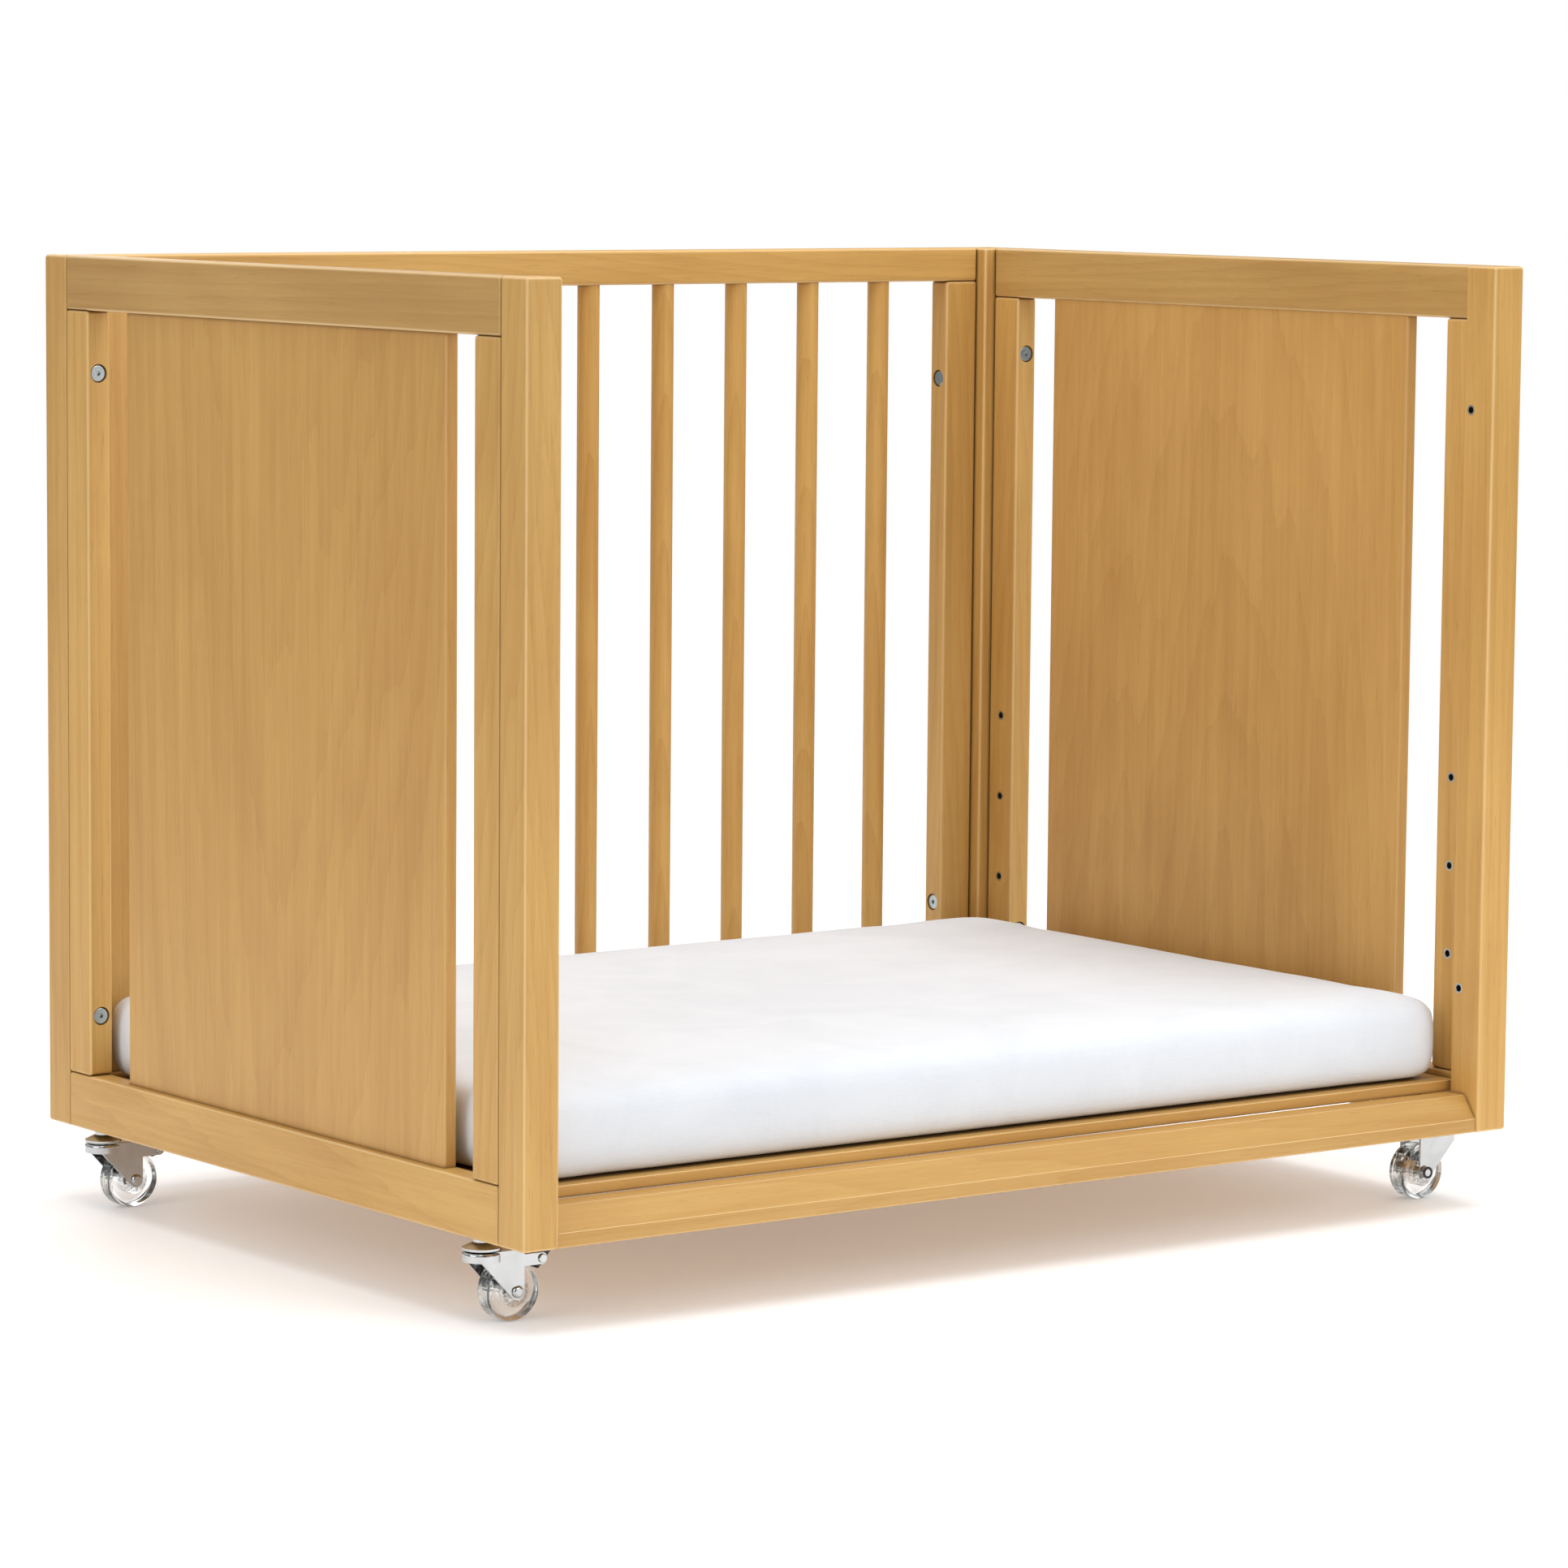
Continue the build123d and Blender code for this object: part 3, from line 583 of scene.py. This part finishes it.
def rib_mesh(name, long, wide, high):
    """A straight rib along Y with a rounded back."""
    rib = bmesh.new()
    ends = []
    for side in (-long / 2, long / 2):
        outline = []
        for step in range(RIB_STEPS + 1):
            angle = math.pi * step / RIB_STEPS
            point = (wide / 2 * math.cos(angle), side, high * math.sin(angle))
            outline.append(rib.verts.new(point))
        ends.append(outline)
    for k in range(RIB_STEPS + 1):
        j = (k + 1) % (RIB_STEPS + 1)
        rib.faces.new((ends[0][k], ends[0][j], ends[1][j], ends[1][k]))
    rib.faces.new(ends[0])
    rib.faces.new(list(reversed(ends[1])))
    bmesh.ops.recalc_face_normals(rib, faces=rib.faces)
    mesh = bpy.data.meshes.new(name)
    rib.to_mesh(mesh)
    rib.free()
    return mesh


def add_piece(name, mesh, place, body, look, turn=0.0):
    """A small piece on a body; turn is about Y, in degrees."""
    item = bpy.data.objects.new(name, mesh)
    bpy.context.scene.collection.objects.link(item)
    item.location = place
    item.rotation_euler.y = math.radians(turn)
    item.data.materials.append(look)
    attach(item, body)
    return item


for corner in ("front_left", "front_right", "rear_left", "rear_right"):
    axle_low, axle_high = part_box(f"{corner}_caster_axle")
    middle = (axle_low + axle_high) / 2
    nut_side = axle_low.y if corner.endswith("_right") else axle_high.y
    inward = 1 if corner.endswith("_right") else -1
    nut_place = Vector((middle.x, nut_side + inward * NUT_RING_IN, middle.z))
    ring = ring_mesh(f"{corner}_nut_ring", NUT_RING_RADIUS, NUT_RING_TUBE)
    add_piece(f"{corner}_nut_ring", ring, nut_place, f"{corner}_swivel", black)

for corner, slope in (("front_left", PEDAL_SLOPE), ("rear_left", PEDAL_SLOPE + PEDAL_TRAVEL)):
    blade_low, blade_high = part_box(f"{corner}_brake_pedal")
    along = Vector((math.cos(math.radians(slope)), 0.0, -math.sin(math.radians(slope))))
    tip_z = blade_high.z if corner == "front_left" else blade_low.z + PEDAL_TIP_RISE
    tip = Vector((blade_high.x - PEDAL_TIP_IN, (blade_low.y + blade_high.y) / 2, tip_z))
    rib_long = blade_high.y - blade_low.y - RIB_SHORT
    for number in range(PEDAL_RIBS):
        rib_name = f"{corner}_pedal_rib_{number}"
        rib = rib_mesh(rib_name, rib_long, RIB_WIDE, RIB_HIGH)
        spot = tip - along * (RIB_FIRST + RIB_PITCH * number)
        add_piece(rib_name, rib, spot, f"{corner}_brake", black, slope)

# ---------------------------------------------------------------- floor
floor_mesh = bpy.data.meshes.new("floor")
disc = bmesh.new()
bmesh.ops.create_circle(disc, cap_ends=True, radius=FLOOR_RADIUS, segments=96)
disc.to_mesh(floor_mesh)
disc.free()
floor = bpy.data.objects.new("floor", floor_mesh)
bpy.context.scene.collection.objects.link(floor)
floor.location.z = cad_box[0].z - FLOOR_GAP
floor_look, floor_tree, floor_shader = new_material("pale_floor")
floor_place = make(floor_tree, "TexCoord").outputs["Object"]
speckle = noise(floor_tree, floor_place, 60.0, 3.0)
floor_colour = blend_colour(floor_tree, speckle, (0.88, 0.88, 0.88, 1.0), (0.92, 0.92, 0.92, 1.0))
put(floor_tree, floor_shader.inputs["Base Color"], floor_colour)
floor_shader.inputs["Roughness"].default_value = 0.6
floor_shader.inputs["Specular IOR Level"].default_value = 0.2
reach = make(floor_tree, "VectorMath", {0: floor_place}, operation="LENGTH").outputs["Value"]
gone = spread(floor_tree, reach, *FLOOR_FADE)
floor_shader.inputs["Emission Color"].default_value = (1.0, 1.0, 1.0, 1.0)
floor_shader.inputs["Emission Strength"].default_value = FLOOR_GLOW
clear_out = make(floor_tree, "BsdfTransparent")
fade = make(floor_tree, "MixShader", {0: gone, 1: floor_shader.outputs[0], 2: clear_out.outputs[0]})
floor_output = next(item for item in floor_tree.nodes if item.type == "OUTPUT_MATERIAL")
floor_tree.links.new(fade.outputs[0], floor_output.inputs["Surface"])
floor.data.materials.append(floor_look)

# ---------------------------------------------------------------- light
world = bpy.data.worlds.new("studio")
bpy.context.scene.world = world
world.use_nodes = True
sky = world.node_tree
sky.nodes.clear()
sky_output = sky.nodes.new("ShaderNodeOutputWorld")
direction = make(sky, "TexCoord").outputs["Generated"]
up = make(sky, "SeparateXYZ", {0: direction}).outputs[2]
surround = ramp(
    sky,
    spread(sky, up, -1.0, 1.0),
    (
        (0.0, (0.80, 0.80, 0.80, 1.0)),
        (0.44, (0.30, 0.30, 0.31, 1.0)),
        (0.56, (0.42, 0.42, 0.43, 1.0)),
        (1.0, (0.95, 0.95, 0.96, 1.0)),
    ),
)
card_place = vector_maths(sky, "MULTIPLY", direction, (1.0, 1.0, 0.35))
cards = spread(sky, noise(sky, card_place, 2.6, 0.0), 0.40, 0.60, 0.12, 1.55)
surround = make(sky, "VectorMath", {0: surround, "Scale": cards}, operation="SCALE").outputs[0]
lit = make(sky, "Background", {"Color": surround, "Strength": 0.95})
seen = make(sky, "Background", {"Color": (1.0, 1.0, 1.0, 1.0), "Strength": 1.0})
camera_ray = make(sky, "LightPath").outputs["Is Camera Ray"]
both = make(sky, "MixShader", {0: camera_ray, 1: lit.outputs[0], 2: seen.outputs[0]})
sky.links.new(both.outputs[0], sky_output.inputs["Surface"])


def area_light(name, place, target, size, power):
    """A white softbox turned towards its target."""
    data = bpy.data.lights.new(name, "AREA")
    data.shape = "RECTANGLE"
    data.size, data.size_y = size
    data.energy = power
    lamp = bpy.data.objects.new(name, data)
    bpy.context.scene.collection.objects.link(lamp)
    lamp.location = place
    lamp.rotation_mode = "QUATERNION"
    lamp.rotation_quaternion = (Vector(target) - Vector(place)).to_track_quat("-Z", "Y")


area_light("overhead_softbox", (0.0, -0.3, 3.6), (0.0, 0.0, 0.4), (3.2, 2.6), 72.0)
area_light("front_softbox", (0.9, -4.2, 1.9), (0.0, 0.0, 0.45), (2.6, 2.2), 46.0)
area_light("left_softbox", (-4.3, -0.6, 1.8), (0.0, 0.0, 0.45), (2.4, 2.2), 38.0)
area_light("rear_softbox", (0.6, 4.2, 2.0), (0.0, 0.0, 0.45), (2.6, 2.2), 26.0)
area_light("right_softbox", (4.2, 0.4, 1.8), (0.0, 0.0, 0.45), (2.2, 2.0), 26.0)

# ---------------------------------------------------------------- camera
yaw, tilt, roll = (math.radians(angle) for angle in CAMERA_TURN)
forward = Vector((math.sin(yaw) * math.cos(tilt), math.cos(yaw) * math.cos(tilt), math.sin(tilt)))
level = Vector((math.cos(yaw), -math.sin(yaw), 0.0))
down = forward.cross(level)
right = math.cos(roll) * level + math.sin(roll) * down
image_down = math.cos(roll) * down - math.sin(roll) * level
camera_data = bpy.data.cameras.new("camera")
camera_data.sensor_fit = "HORIZONTAL"
camera_data.sensor_width = SENSOR
camera_data.lens = CAMERA_LENS
camera_data.clip_end = 100.0
camera = bpy.data.objects.new("camera", camera_data)
bpy.context.scene.collection.objects.link(camera)
turn = Matrix((right, -image_down, -forward)).transposed()
camera.matrix_world = Matrix.Translation(CAMERA_PLACE) @ turn.to_4x4()
bpy.context.scene.camera = camera
bpy.context.scene.view_settings.view_transform = "Standard"
bpy.context.scene.view_settings.look = "None"
